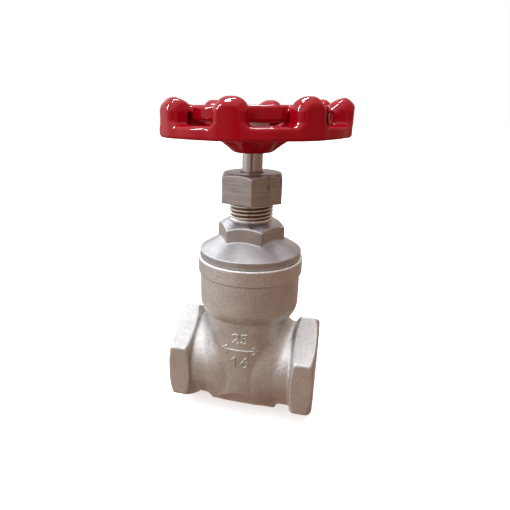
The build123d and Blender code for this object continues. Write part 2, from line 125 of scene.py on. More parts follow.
class Paint:
    def __init__(self, owner):
        owner.use_nodes = True
        self.tree = owner.node_tree
        self.tree.nodes.clear()

    def node(self, kind, settings=None, inputs=None, output=0):
        made = self.tree.nodes.new("ShaderNode" + kind)
        for name, value in (settings or {}).items():
            if name == "stops":
                self.setStops(made.color_ramp, value)
            else:
                setattr(made, name, value)
        for name, value in (inputs or {}).items():
            if isinstance(value, Value):
                self.tree.links.new(value.socket, made.inputs[name])
            else:
                made.inputs[name].default_value = value
        return Value(self, made.outputs[output]) if len(made.outputs) else made

    def setStops(self, ramp, stops):
        while len(ramp.elements) < len(stops):
            ramp.elements.new(1.0)
        for element, (place, colour) in zip(ramp.elements, stops):
            element.position = place
            element.color = (*colour, 1.0)

    def maths(self, operation, *values):
        return self.node("Math", {"operation": operation}, dict(enumerate(values)))

    def clamp(self, value, low, high):
        return self.maths("MAXIMUM", self.maths("MINIMUM", value, high), low)

    def place(self):      # the point on the piece, in metres
        return self.node("TexCoord", output="Object")

    def stretched(self, vector, scale):
        return self.node("VectorMath", {"operation": "MULTIPLY"}, {0: vector, 1: scale})

    def noise(self, vector, scale, detail=2.0, roughness=0.5):
        inputs = {"Vector": vector, "Scale": scale, "Detail": detail, "Roughness": roughness}
        return self.node("TexNoise", None, inputs)

    def mixed(self, share, first, second):
        def full(colour):
            return colour if isinstance(colour, Value) else (*colour, 1.0)
        inputs = {0: share, 6: full(first), 7: full(second)}
        return self.node("Mix", {"data_type": "RGBA"}, inputs, output=2)

    def ramp(self, share, stops):
        return self.node("ValToRGB", {"stops": stops}, {"Fac": share})

    def edges(self):      # 0.5 on flats, more on worn outer edges, less in corners
        return self.node("NewGeometry", output="Pointiness")

    def bump(self, height, depth, strength=1.0, under=None):
        inputs = {"Height": height, "Distance": depth, "Strength": strength}
        if under:
            inputs["Normal"] = under
        return self.node("Bump", None, inputs)

    def shader(self, inputs):
        surface = self.node("BsdfPrincipled", None, inputs)
        self.node("OutputMaterial", None, {"Surface": surface})


def newMaterial(name):
    material = bpy.data.materials.new(name)
    return material, Paint(material)


# ---- finishes ----
castFinish = {
    "pale": (0.68, 0.665, 0.64), "dull": (0.47, 0.45, 0.425), "edge": (0.90, 0.89, 0.88),
    "patch": 95.0, "grain": 1700.0, "grainDepth": 0.0002, "ripple": 260.0, "rippleDepth": 0.00014,
    "wornFrom": 0.515, "wornGain": 12.0, "patchShare": 1.7, "grainShare": 2.6, "toneFall": 1.65,
    "rimGain": 6000.0, "boreGain": 4000.0,
    "smooth": 0.27, "rough": 0.44, "machined": 0.2, "machinedTop": 0.0501, "machinedBore": 0.0166,
}


def castSteel():
    finish = castFinish
    material, paint = newMaterial("castSteel")
    place = paint.place()
    patches = paint.noise(place, finish["patch"], 4.0, 0.6)
    grain = paint.noise(place, finish["grain"], 3.0, 0.65)
    ripple = paint.noise(place, finish["ripple"], 2.0)
    worn = paint.clamp((paint.edges() - finish["wornFrom"]) * finish["wornGain"], 0.0, 1.0)
    tone = patches * finish["patchShare"] + grain * finish["grainShare"] - finish["toneFall"]
    tone = paint.clamp(tone, 0.0, 1.0)
    colour = paint.mixed(worn, paint.mixed(tone, finish["dull"], finish["pale"]), finish["edge"])
    spread = finish["rough"] - finish["smooth"]
    roughness = finish["rough"] - patches * spread * 0.9 - worn * 0.08
    height = paint.node("SeparateXYZ", None, {"Vector": place}, output=2)
    across = paint.stretched(place, (0.0, 1.0, 1.0))
    pipeRadius = paint.node("VectorMath", {"operation": "LENGTH"}, {0: across}, output=1)
    rimTop = paint.clamp((height - finish["machinedTop"]) * finish["rimGain"], 0.0, 1.0)
    threads = paint.clamp((finish["machinedBore"] - pipeRadius) * finish["boreGain"], 0.0, 1.0)
    machined = paint.maths("MAXIMUM", rimTop, threads)
    colour = paint.mixed(machined, colour, finish["edge"])
    roughness = roughness + machined * (finish["machined"] - roughness)
    waves = paint.bump(ripple, finish["rippleDepth"], 0.6)
    normal = paint.bump(grain, finish["grainDepth"], 1.0, waves)
    paint.shader({"Base Color": colour, "Metallic": 1.0, "Roughness": roughness, "Normal": normal})
    return material


satinFinish = {
    "pale": (0.50, 0.495, 0.495), "dull": (0.35, 0.34, 0.34), "edge": (0.92, 0.90, 0.88),
    "patch": 150.0, "grain": 1700.0, "grainDepth": 0.00010, "satin": 0.34,
    "wornFrom": 0.52, "wornGain": 14.0,
}


def satinSteel():
    finish = satinFinish
    material, paint = newMaterial("satinSteel")
    place = paint.place()
    patches = paint.noise(place, finish["patch"], 4.0, 0.55)
    grain = paint.noise(place, finish["grain"], 3.0)
    worn = paint.clamp((paint.edges() - finish["wornFrom"]) * finish["wornGain"], 0.0, 1.0)
    tone = paint.clamp(patches * 2.0 - 0.5, 0.0, 1.0)
    colour = paint.mixed(worn, paint.mixed(tone, finish["dull"], finish["pale"]), finish["edge"])
    roughness = finish["satin"] - tone * 0.07
    normal = paint.bump(grain, finish["grainDepth"], 1.0)
    paint.shader({"Base Color": colour, "Metallic": 1.0, "Roughness": roughness, "Normal": normal})
    return material


# root is a painted shade colour for the thread roots
brightFinish = {
    "pale": (0.70, 0.67, 0.64), "root": (0.17, 0.10, 0.06), "rootRadius": 0.00862,
    "rootShadeGain": 4500.0, "smear": 300.0, "fine": 2600.0, "smooth": 0.10, "rough": 0.22,
}


def brightSteel():      # cut threads: clean crests, with painted shade darkening the roots
    finish = brightFinish
    material, paint = newMaterial("brightSteel")
    place = paint.place()
    patches = paint.noise(place, finish["smear"], 3.0)
    flat = paint.stretched(place, (1.0, 1.0, 0.0))
    radius = paint.node("VectorMath", {"operation": "LENGTH"}, {0: flat}, output=1)
    # painted shade: inside rootRadius the thread roots are coloured dark brown
    root = paint.clamp((finish["rootRadius"] - radius) * finish["rootShadeGain"], 0.0, 1.0)
    colour = paint.mixed(root, finish["pale"], finish["root"])
    roughness = finish["smooth"] + patches * (finish["rough"] - finish["smooth"])
    normal = paint.bump(paint.noise(place, finish["fine"]), 0.00001, 0.6)
    paint.shader({"Base Color": colour, "Metallic": 1.0, "Roughness": roughness, "Normal": normal})
    return material


brushedFinish = {
    "pale": (0.47, 0.43, 0.405), "dull": (0.26, 0.23, 0.21), "edge": (0.92, 0.88, 0.84),
    "scratch": (0.07, 0.045, 0.035),
    "along": 45.0, "across": 2600.0, "lineDepth": 0.00003, "patch": 180.0,
    "smooth": 0.24, "rough": 0.40,
    "wornFrom": 0.53, "wornGain": 9.0, "nickStretch": (520.0, 520.0, 110.0), "nickShare": 0.66,
}


def brushedSteel():
    finish = brushedFinish
    material, paint = newMaterial("brushedSteel")
    place = paint.place()
    streaks = paint.stretched(place, (finish["along"], finish["along"], finish["across"]))
    lines = paint.noise(streaks, 1.0, 3.0, 0.7)
    patches = paint.noise(place, finish["patch"], 3.0)
    worn = paint.clamp((paint.edges() - finish["wornFrom"]) * finish["wornGain"], 0.0, 1.0)
    tone = paint.clamp(lines * 1.5 + patches * 0.8 - 0.65, 0.0, 1.0)
    nicks = paint.noise(paint.stretched(place, finish["nickStretch"]), 1.0, 3.0, 0.6)
    nicks = paint.clamp((nicks - finish["nickShare"]) * 14.0, 0.0, 1.0)
    colour = paint.mixed(worn, paint.mixed(tone, finish["dull"], finish["pale"]), finish["edge"])
    colour = paint.mixed(nicks * 0.8, colour, finish["scratch"])
    roughness = finish["smooth"] + lines * (finish["rough"] - finish["smooth"])
    normal = paint.bump(lines - nicks, finish["lineDepth"], 1.0)
    paint.shader({"Base Color": colour, "Metallic": 1.0, "Roughness": roughness, "Normal": normal})
    return material


polishedFinish = {
    "pale": (0.50, 0.44, 0.42), "dull": (0.33, 0.27, 0.25),
    "along": 3200.0, "lineDepth": 0.000006, "smooth": 0.10, "rough": 0.20,
}


def polishedSteel():
    finish = polishedFinish
    material, paint = newMaterial("polishedSteel")
    place = paint.place()
    turned = paint.stretched(place, (40.0, 40.0, finish["along"]))
    lines = paint.noise(turned, 1.0, 2.0)
    smears = paint.noise(place, 220.0, 3.0)
    colour = paint.mixed(smears, finish["dull"], finish["pale"])
    roughness = finish["smooth"] + lines * (finish["rough"] - finish["smooth"])
    normal = paint.bump(lines, finish["lineDepth"], 1.0)
    paint.shader({"Base Color": colour, "Metallic": 1.0, "Roughness": roughness, "Normal": normal})
    return material


# the deep red is painted shade for concave corners and creases
enamelFinish = {
    "red": (0.34, 0.0015, 0.009), "shadeRed": (0.12, 0.001, 0.004), "thin": (0.41, 0.003, 0.013),
    "wornFrom": 0.52, "wornGain": 5.0, "creaseShadeFrom": 0.49, "creaseShadeGain": 8.0,
    "patch": 70.0, "peel": 420.0, "peelDepth": 0.00006, "speck": 1800.0, "speckDepth": 0.000012,
}


def redEnamel():
    finish = enamelFinish
    material, paint = newMaterial("redEnamel")
    place = paint.place()
    patches = paint.noise(place, finish["patch"], 3.0)
    peel = paint.noise(place, finish["peel"], 2.0)
    specks = paint.noise(place, finish["speck"], 2.0)
    worn = paint.clamp((paint.edges() - finish["wornFrom"]) * finish["wornGain"], 0.0, 1.0)
    # painted shade: where pointiness is low, in corners and creases, the red is darkened
    creaseShade = paint.clamp((finish["creaseShadeFrom"] - paint.edges()) * finish["creaseShadeGain"], 0.0, 1.0)
    base = paint.mixed(paint.clamp(patches * 1.4 - 0.4, 0.0, 1.0), finish["red"], finish["thin"])
    base = paint.mixed(creaseShade * 0.8, base, finish["shadeRed"])
    colour = paint.mixed(worn * 0.5, base, finish["thin"])
    roughness = 0.30 + patches * 0.16
    waves = paint.bump(peel, finish["peelDepth"], 0.5)
    normal = paint.bump(specks, finish["speckDepth"], 0.5, waves)
    paint.shader({
        "Base Color": colour, "Roughness": roughness, "Normal": normal,
        "Specular IOR Level": 0.0, "Coat Weight": 0.36, "Coat Roughness": 0.07,
    })
    return material


ptfeFinish = {"clean": (0.86, 0.86, 0.83), "grey": (0.70, 0.70, 0.67), "grain": 900.0}


def whitePtfe():
    finish = ptfeFinish
    material, paint = newMaterial("whitePtfe")
    grain = paint.noise(paint.place(), finish["grain"], 3.0)
    colour = paint.mixed(grain, finish["grey"], finish["clean"])
    normal = paint.bump(grain, 0.00002, 0.6)
    roughness = 0.42 + grain * 0.14
    paint.shader({"Base Color": colour, "Roughness": roughness, "Normal": normal})
    return material


plateFinish = {"pale": (0.62, 0.62, 0.63), "dull": (0.48, 0.48, 0.49), "turns": 5200.0}


def turnedPlate():
    finish = plateFinish
    material, paint = newMaterial("turnedPlate")
    place = paint.place()
    flat = paint.stretched(place, (1.0, 1.0, 0.0))
    radius = paint.node("VectorMath", {"operation": "LENGTH"}, {0: flat}, output=1)
    rings = paint.maths("SINE", radius * finish["turns"]) * 0.5 + 0.5
    smears = paint.noise(place, 260.0, 3.0)
    colour = paint.mixed(smears, finish["dull"], finish["pale"])
    roughness = 0.26 + smears * 0.16
    normal = paint.bump(rings, 0.000008, 1.0)
    paint.shader({"Base Color": colour, "Metallic": 1.0, "Roughness": roughness, "Normal": normal})
    return material


zincFinish = {"bright": (0.56, 0.57, 0.56), "warm": (0.46, 0.44, 0.37), "patch": 420.0}


def zincPlate():
    finish = zincFinish
    material, paint = newMaterial("zincPlate")
    place = paint.place()
    patches = paint.noise(place, finish["patch"], 4.0, 0.6)
    grain = paint.noise(place, 2400.0, 2.0)
    colour = paint.mixed(patches, finish["warm"], finish["bright"])
    roughness = 0.24 + patches * 0.20
    normal = paint.bump(grain, 0.00002, 0.7)
    paint.shader({"Base Color": colour, "Metallic": 1.0, "Roughness": roughness, "Normal": normal})
    return material


finishes = {
    "cast": castSteel(),
    "satin": satinSteel(),
    "bright": brightSteel(),
    "brushed": brushedSteel(),
    "polished": polishedSteel(),
    "enamel": redEnamel(),
    "ptfe": whitePtfe(),
    "plate": turnedPlate(),
    "zinc": zincPlate(),
}
print("finishes mixed:", len(finishes))


# ---- shapes as distance fields: negative inside, millimetres ----
def filleted(first, second, radius):      # both shapes, with a concave fillet between them
    near = np.hypot(np.maximum(radius - first, 0), np.maximum(radius - second, 0))
    return np.maximum(radius, np.minimum(first, second)) - near


def cut(first, second, radius):      # what both shapes share, with rounded edges
    return -filleted(-first, -second, radius)


def cutAll(shape, others, radius):
    for other in others:
        shape = cut(shape, other, radius)
    return shape


def hexagon(u, v, flats, rounding):      # its corners lie on the u axis
    u, v = np.abs(u), np.abs(v)
    reach = flats / 2 - rounding
    fold = 2 * np.minimum(0.5 * v - root3 / 2 * u, 0)
    u = u + fold * root3 / 2
    v = v - fold * 0.5
    beside = u - np.clip(u, -reach / root3, reach / root3)
    above = v - reach
    return np.hypot(beside, above) * np.where(above < 0, -1, 1) - rounding


def spun(x, y, degreesRound):      # coordinates turned about the stem axis
    c, s = cos(radians(degreesRound)), sin(radians(degreesRound))
    return x * c + y * s, y * c - x * s


def threadRadius(along, around, radius, depth, pitch, hand=1):      # radius of a thread's rounded profile
    return radius - depth * (0.5 + 0.5 * np.cos(2 * pi * along / pitch - hand * around))


# ---- skinning: a clean quad mesh drawn over a field ----
def skin(field, low, high, cell):
    axes = [np.arange(a - 1.7 * cell, b + 2.7 * cell, cell) for a, b in zip(low, high)]
    value = field(*np.meshgrid(*axes, indexing="ij", sparse=True))
    inside = value < 0
    count = sum(
        inside[i:i - 1 or None, j:j - 1 or None, k:k - 1 or None].astype(np.int8)
        for i in (0, 1) for j in (0, 1) for k in (0, 1)
    )
    mixed = (count > 0) & (count < 8)
    number = np.full(mixed.shape, -1)
    number[mixed] = np.arange(mixed.sum())
    total = np.zeros((mixed.sum(), 3))
    hits = np.zeros(mixed.sum())
    quads = []
    for axis in range(3):
        u, v = (axis + 1) % 3, (axis + 2) % 3
        near = np.moveaxis(np.moveaxis(value, axis, 0)[:-1], 0, axis)
        far = np.moveaxis(np.moveaxis(value, axis, 0)[1:], 0, axis)
        edge = np.argwhere((near < 0) != (far < 0))
        a, b = near[tuple(edge.T)], far[tuple(edge.T)]
        point = edge.astype(float)
        point[:, axis] += a / (a - b)
        corners = []
        for du, dv in ((0, 0), (-1, 0), (-1, -1), (0, -1)):
            cell4 = edge.copy()
            cell4[:, u] += du
            cell4[:, v] += dv
            index = number[tuple(cell4.T)]
            corners.append(index)
            hits += np.bincount(index, minlength=len(hits))
            for k in range(3):
                total[:, k] += np.bincount(index, point[:, k], len(hits))
        quad = np.stack(corners, 1)
        quads.append(np.where((a < 0)[:, None], quad, quad[:, ::-1]))
    quads = np.concatenate(quads)
    points = total / hits[:, None] * cell + [axis[0] for axis in axes]
    return settle(field, points, quads, cell)


def slopeOf(field, points, step):
    slope = np.empty_like(points)
    for k in range(3):
        shift = np.zeros(3)
        shift[k] = step
        slope[:, k] = (field(*(points + shift).T) - field(*(points - shift).T)) / (2 * step)
    return slope


def onto(field, points, cell):      # moves points the short way onto the surface
    slope = slopeOf(field, points, cell * 0.1)
    step = field(*points.T) / np.maximum((slope ** 2).sum(1), 0.05)
    move = slope * np.clip(step, -cell, cell)[:, None]
    return points - move


def settle(field, points, quads, cell, rounds=3):      # evens out the points, then gives normals
    start = quads.ravel()
    end = np.roll(quads, -1, 1).ravel()
    links = np.bincount(start, minlength=len(points)) + np.bincount(end, minlength=len(points))
    for _ in range(rounds):
        middle = np.empty_like(points)
        for k in range(3):
            middle[:, k] = np.bincount(start, points[end, k], len(points))
            middle[:, k] += np.bincount(end, points[start, k], len(points))
        points = points * 0.4 + middle / links[:, None] * 0.6
        points = onto(field, onto(field, points, cell), cell)
    slope = slopeOf(field, points, cell * 0.2)
    normals = slope / np.maximum(np.linalg.norm(slope, axis=1), 1e-9)[:, None]
    return points, quads, normals


def makePiece(name, field, low, high, cell, finish, body, replaced=None):
    points, quads, normals = skin(field, low, high, cell)
    mesh = bpy.data.meshes.new(name)
    mesh.from_pydata((points * mm).tolist(), [], quads.tolist())
    mesh.polygons.foreach_set("use_smooth", np.ones(len(quads), bool))
    mesh.normals_split_custom_set_from_vertices(normals.tolist())
    mesh.materials.append(finishes[finish])
    piece = bpy.data.objects.new(name, mesh)
    bpy.context.scene.collection.objects.link(piece)
    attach(piece, body)
    if replaced:
        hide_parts(replaced)
    print(name, "skinned with", len(quads), "quads")


# ---- body casting ----
bodyLow, bodyHigh = boxOf("body")
casting = {
    "cell": 0.61,
    "face": bodyHigh[0], "endLength": 9.7, "hexFlats": 41.0, "hexRound": 1.8,
    "cornerCut": 1.6, "endEdge": 0.7,
    "portRadius": 18.9, "portFillet": 7.0, "endFillet": 1.4, "frontHalf": 4.0, "frontFade": 9.5,
    "chamberReach": 21.2, "chamberFront": 20.1, "chamberHalf": 12.6, "widening": 0.2227, "chamberRound": 6.0,
    "neckRadius": 21.3, "neckBase": 22.0, "neckUnder": 9.0, "neckFillet": 0.9,
    "lipRadius": 22.15, "lipBase": 44.1, "top": bodyHigh[2], "lipEdge": 0.7,
    "footHalf": 15.3, "footReach": 21.6, "footDepth": 10.0, "footEdge": 1.3, "footFillet": 0.6,
    "innerEdge": 0.3,
}
hollow = {
    "flow": 12.5, "socket": 15.15, "socketDepth": 14.0, "mouth": 1.5,
    "threadPitch": 2.309, "threadDepth": 1.15,
    "pocketHalf": 9.2, "pocketReach": 17.0, "pocketTop": 31.0,
    "seatGap": 7.0, "seatRadius": 15.6, "tilt": tan(radians(4)),
    "wellRadius": 16.9, "wellFloor": 25.0, "mouthRadius": 18.0, "mouthFloor": 40.5,
    "ribHalf": 1.2, "ribReach": 14.0, "ribLow": -5.0, "ribHigh": 39.0,
}


def castEnds(across, y, z, pipeRadius):
    c = casting
    inner = c["face"] - c["endLength"]
    rise = c["hexFlats"] / root3 - c["hexFlats"] / 2
    slant = hypot(rise, c["cornerCut"])
    above = (pipeRadius - c["hexFlats"] / 2) * c["cornerCut"]
    bar = hexagon(z, y, c["hexFlats"], c["hexRound"])
    faces = [
        (above + (across - c["face"]) * rise) / slant,
        (above + (inner - across) * rise) / slant,
        across - c["face"],
        inner - across,
    ]
    return cutAll(bar, faces, c["endEdge"])


def castOutside(x, y, z):
    c = casting
    across = np.abs(x)
    stemRadius = np.hypot(x, y)
    pipeRadius = np.hypot(y, z)
    ports = np.maximum(pipeRadius - c["portRadius"], across - c["face"] + 1)
    side = (across - c["chamberHalf"] - c["widening"] * np.maximum(z, 0)) * 0.976
    belly = np.where(z < 0, pipeRadius, np.abs(y)) - c["chamberReach"]
    chamber = cut(np.maximum(stemRadius - c["chamberFront"], belly), side, c["chamberRound"])
    chamber = np.maximum(chamber, z - c["neckBase"] - c["neckUnder"])
    neck = cut(stemRadius - c["neckRadius"], c["neckBase"] - z, c["neckUnder"])
    neck = np.maximum(neck, z - c["top"] + 2)
    lip = cut(stemRadius - c["lipRadius"], z - c["top"], c["lipEdge"])
    lip = cut(lip, c["lipBase"] - 0.4 - z, 0.5)
    foot = np.maximum(pipeRadius - c["footReach"], z + 2)
    foot = cutAll(foot, [across - c["footHalf"], np.abs(y) - c["footDepth"]], c["footEdge"])
    # the fillets fade out where the fronts are flush
    toSide = np.clip((across - c["frontHalf"]) / c["frontFade"], 0.03, 1)
    shell = filleted(chamber, ports, c["portFillet"] * toSide)
    under = np.clip((c["neckBase"] + c["neckUnder"] - 2 - z) / 5, 0.02, 1)
    shell = filleted(shell, neck, c["neckFillet"] * toSide * under)
    shell = filleted(shell, lip, 0.35)
    shell = filleted(shell, foot, c["footFillet"])
    return filleted(shell, castEnds(across, y, z, pipeRadius), c["endFillet"])


def castInside(x, y, z):
    h = hollow
    across = np.abs(x)
    stemRadius = np.hypot(x, y)
    pipeRadius = np.hypot(y, z)
    pocket = np.where(z < 0, pipeRadius, np.abs(y)) - h["pocketReach"]
    pocket = np.maximum(np.maximum(pocket, across - h["pocketHalf"]), z - h["pocketTop"])
    well = np.maximum(stemRadius - h["wellRadius"], h["wellFloor"] - z)
    mouthRadius = threadRadius(z, np.arctan2(y, x), h["mouthRadius"] + 0.5, 0.5, 2.0)
    mouth = np.maximum((stemRadius - mouthRadius) * 0.7, h["mouthFloor"] - z)
    room = np.minimum(pocket, np.minimum(well, mouth))
    seat = np.maximum(pipeRadius - h["seatRadius"], h["seatGap"] + h["tilt"] * z - across)
    rib = np.maximum(across - h["ribHalf"], h["ribReach"] - np.abs(y))
    rib = np.maximum(rib, np.maximum(h["ribLow"] - z, z - h["ribHigh"]))
    room = np.maximum(room, -np.minimum(seat, rib))
    face = casting["face"]
    root = h["socket"] + h["threadDepth"]
    thread = threadRadius(x, np.arctan2(z, y), root, h["threadDepth"], h["threadPitch"])
    socket = np.maximum((pipeRadius - thread) * 0.6, face - h["socketDepth"] - across)
    cone = (pipeRadius - h["socket"] - h["mouth"] - across + face) * 0.707
    way = np.minimum(pipeRadius - h["flow"], np.minimum(socket, cone))
    return np.minimum(room, way)


def castBody(x, y, z):
    return cut(castOutside(x, y, z), -castInside(x, y, z), casting["innerEdge"])


makePiece("bodyCasting", castBody, bodyLow, bodyHigh, casting["cell"],
          "cast", "valve_body", "body")


# ---- raised marks on the casting's front: size and pressure numbers with a two-way arrow ----
marks = {
    "cell": 0.13, "half": 0.5, "stand": 0.5, "soft": 0.32, "sunk": 0.4,
    "sizeHeight": 3.9, "sizeBase": 18.0, "ratingHeight": 4.4, "ratingBase": 6.6,
    "arrowHeight": 14.4, "arrowHalf": 7.6, "arrowHead": 1.9, "middle": 0.6,
}


def stroke(x, z, x1, z1, x2, z2):      # distance from a straight stroke
    alongX, alongZ = x2 - x1, z2 - z1
    share = ((x - x1) * alongX + (z - z1) * alongZ) / (alongX ** 2 + alongZ ** 2)
    share = np.clip(share, 0, 1)
    return np.hypot(x - x1 - share * alongX, z - z1 - share * alongZ)


def bend(x, z, centreX, centreZ, radius, start, sweep):      # distance from an arc, in degrees anticlockwise
    angle = (np.degrees(np.arctan2(z - centreZ, x - centreX)) - start) % 360
    onArc = np.abs(np.hypot(x - centreX, z - centreZ) - radius)
    ends = [radians(start), radians(start + sweep)]
    tips = [np.hypot(x - centreX - radius * cos(a), z - centreZ - radius * sin(a)) for a in ends]
    return np.where(angle <= sweep, onArc, np.minimum(*tips))


def numeral(x, z, digit):      # in a cell 0.6 wide and 1 high
    if digit == "1":
        return np.minimum(stroke(x, z, 0.3, 0, 0.3, 1), stroke(x, z, 0.3, 1, 0.04, 0.7))
    if digit == "2":
        top = bend(x, z, 0.3, 0.7, 0.3, -35, 200)
        leg = stroke(x, z, 0.546, 0.528, 0.02, 0)
        return np.minimum(np.minimum(top, leg), stroke(x, z, 0.02, 0, 0.6, 0))
    if digit == "5":
        top = np.minimum(stroke(x, z, 0.08, 1, 0.55, 1), stroke(x, z, 0.08, 1, 0.06, 0.56))
        return np.minimum(top, bend(x, z, 0.27, 0.32, 0.32, -140, 270))
    bowl = bend(x, z, 0.3, 0.3, 0.3, 0, 360)
    return np.minimum(bowl, stroke(x, z, 0.04, 0.42, 0.42, 1))


def numbers(x, z, text, height, base):
    pitch = 0.95
    left = marks["middle"] - (pitch * (len(text) - 1) + 0.6) / 2 * height
    across, up = (x - left) / height, (z - base) / height
    lines = [numeral(across - pitch * i, up, digit) for i, digit in enumerate(text)]
    return np.minimum.reduce(lines) * height


def markField(x, y, z):      # the marks stand on the casting's own surface
    m = marks
    head = m["arrowHead"]
    reach = np.abs(x - m["middle"])
    above = np.abs(z - m["arrowHeight"])
    arrow = stroke(reach, above, 0, 0, m["arrowHalf"], 0)
    arrow = np.minimum(arrow, stroke(reach, above, m["arrowHalf"], 0, m["arrowHalf"] - head, head * 0.8))
    size = numbers(x, z, "25", m["sizeHeight"], m["sizeBase"])
    rating = numbers(x, z, "16", m["ratingHeight"], m["ratingBase"])
    line = np.minimum(arrow, np.minimum(size, rating)) - m["half"]
    ground = castOutside(x, y, z)
    return np.maximum(cut(line, ground - m["stand"], m["soft"]), -ground - m["sunk"])


markReach = marks["arrowHalf"] + 1.5
markLow = (marks["middle"] - markReach, -casting["neckRadius"] - 1.5, marks["ratingBase"] - 1.5)
markTop = marks["sizeBase"] + marks["sizeHeight"] + 1.5
markHigh = (marks["middle"] + markReach, -casting["neckRadius"] + 4.6, markTop)
makePiece("castMarks", markField, markLow, markHigh, marks["cell"], "cast", "valve_body")


# ---- bonnet ----
bonnetLow, bonnetHigh = boxOf("bonnet")
discLow = boxOf("bonnet_gasket")[1][2]
bonnetShape = {
    "cell": 0.34, "neckCell": 0.17, "plain": 0.3, "skirtRadius": 17.95,
    "discRadius": 21.36, "discTop": discLow + 2.6, "discEdge": 0.32,
    "domeRise": 0.5915, "domeFillet": 0.4,
    "hexFlats": 24.7, "hexRound": 0.6, "hexTurn": 28.3, "hexTop": 66.3, "shoulder": 63.3, "hexEdge": 0.35,
    "collarRadius": 9.6, "neckRadius": 9.0, "threadDepth": 0.75, "threadPitch": 1.5, "neckTop": bonnetHigh[2],
    "skirtInner": 15.7, "ceiling": 54.3, "spring": 48.5, "ceilingRadius": 8.6,
    "boreRadius": 4.15, "boxRadius": 6.5, "boxFloor": 60.8,
}


def bonnetRoom(radius, z):
    b = bonnetShape
    under = np.maximum(radius - b["skirtInner"], z - b["ceiling"])
    fall = (b["ceiling"] - b["spring"]) / (b["skirtInner"] - b["ceilingRadius"])
    vault = (z - b["spring"] - fall * (b["skirtInner"] - radius)) / hypot(1, fall)
    box = np.maximum(radius - b["boxRadius"], b["boxFloor"] - z)
    return np.minimum(np.minimum(cut(under, vault, 0.6), box), radius - b["boreRadius"])


def bonnetField(x, y, z):
    b = bonnetShape
    radius = np.hypot(x, y)
    corner = b["hexFlats"] / root3
    skirt = np.maximum(cut(radius - b["skirtRadius"], bonnetLow[2] - z, 0.5), z - discLow - 1)
    lean = 1 / hypot(1, b["domeRise"])
    dome = (z - b["discTop"] - b["domeRise"] * (b["discRadius"] - radius)) * lean
    disc = cutAll(radius - b["discRadius"], [dome, discLow - z], b["discEdge"])
    disc = np.maximum(disc, z - b["shoulder"])
    u, v = spun(x, y, b["hexTurn"] - 90)
    bar = hexagon(u, v, b["hexFlats"], b["hexRound"])
    slope = (b["hexTop"] - b["shoulder"]) / (corner - b["collarRadius"])
    cone = (z - b["shoulder"] - slope * (corner - radius)) / hypot(1, slope)
    hexPart = cutAll(bar, [cone, z - b["hexTop"]], b["hexEdge"])
    hexPart = np.maximum(hexPart, discLow + 1 - z)
    shape = np.minimum(filleted(disc, hexPart, b["domeFillet"]), skirt)
    return cut(shape, -bonnetRoom(radius, z), 0.2)


def neckField(x, y, z):      # the threaded neck, which fades out above the hexagon
    b = bonnetShape
    radius = np.hypot(x, y)
    wave = 0.5 + 0.5 * np.cos(2 * pi * z / b["threadPitch"] - np.arctan2(y, x))
    groove = np.clip(wave * 1.25 - 0.15, 0, 1)      # flat crests and narrow roots
    depth = b["threadDepth"] * np.clip((z - b["hexTop"] - b["plain"]) / 0.8, 0, 1)
    neck = cut((radius - b["neckRadius"] + depth * groove) * 0.55, z - b["neckTop"], 0.25)
    return cut(np.maximum(neck, b["hexTop"] - 0.6 - z), -bonnetRoom(radius, z), 0.15)


makePiece("bonnetCasting", bonnetField, bonnetLow, (bonnetHigh[0], bonnetHigh[1], bonnetShape["hexTop"]),
          bonnetShape["cell"], "satin", "valve_body", "bonnet")
neckReach = bonnetShape["neckRadius"]
makePiece("bonnetNeck", neckField, (-neckReach, -neckReach, bonnetShape["hexTop"] - 0.6),
          (neckReach, neckReach, bonnetHigh[2]), bonnetShape["neckCell"],
          "bright", "valve_body")


# ---- packing nut ----
nutLow, nutHigh = boxOf("packing_nut")
nutShape = {
    "cell": 0.26, "flats": 23.6, "round": 0.35, "turn": 10.9, "crown": 1.4, "edge": 0.22,
    "threadRadius": 9.05, "threadPitch": 1.5, "threadDepth": 0.7, "holeRadius": 4.9,
    "holeFloor": boxOf("gland_follower")[1][2],
}


def nutField(x, y, z):
    n = nutShape
    radius = np.hypot(x, y)
    u, v = spun(x, y, n["turn"] - 90)
    bar = hexagon(u, v, n["flats"], n["round"])
    corner = n["flats"] / root3
    crown = ((z - nutHigh[2] + n["crown"]) * root3 + radius - corner) / 2
    bar = cutAll(bar, [crown, z - nutHigh[2], nutLow[2] - z], n["edge"])
    root = n["threadRadius"] + n["threadDepth"]
    thread = threadRadius(z, np.arctan2(y, x), root, n["threadDepth"], n["threadPitch"])
    bore = np.maximum((radius - thread) * 0.6, z - n["holeFloor"])
    lead = (radius - n["threadRadius"] - 1.2 + (z - nutLow[2])) * 0.707
    room = np.minimum(np.minimum(bore, lead), radius - n["holeRadius"])
    return cut(bar, -room, 0.2)


makePiece("packingNutBrushed", nutField, nutLow, nutHigh, nutShape["cell"],
          "brushed", "valve_body", "packing_nut")


# ---- handwheel ----
wheelLow, wheelHigh = boxOf("handwheel")
wheelShape = {
    "cell": 0.42, "lobes": 8, "turn": -1.5, "radius": 37.0,
    "rimOuter": 36.2, "rimInner": 29.9, "rimBase": 99.2, "rimTop": 103.6, "rimRound": 1.5, "rimUnder": 1.0,
    "lobeTop": wheelHigh[2], "lobeHalf": 5.6, "lobeRound": 4.9, "lobeNose": 4.7,
    "lobeCorner": 2.5, "lobeArch": 107.7,
    "slopeStart": 30.8, "slope": 0.818, "lobeShoulder": 2.2, "lobeFillet": 1.5,
    "ringOuter": 28.3, "ringInner": 24.2, "ringBase": 104.7, "ringTop": 110.2, "ringRound": 1.4,
    "hubRadius": 7.85, "hubTop": 102.0, "hubFlare": 1.0, "flareHeight": 3.4,
    "spokeHalf": 2.3, "spokeRound": 1.4, "spokeFillet": 1.8,
    "spokeUnder": ([6, 12.3, 18.3, 31], [93.4, 96.6, 99.4, 99.8]),      # distances out, then heights
    "spokeOver": ([6, 21.2, 24.8, 27.7, 29, 31], [100.6, 104.7, 107, 105.6, 103, 103]),
    "square": 6.1, "squareRound": 4.15, "plateSeat": 11.4,
}


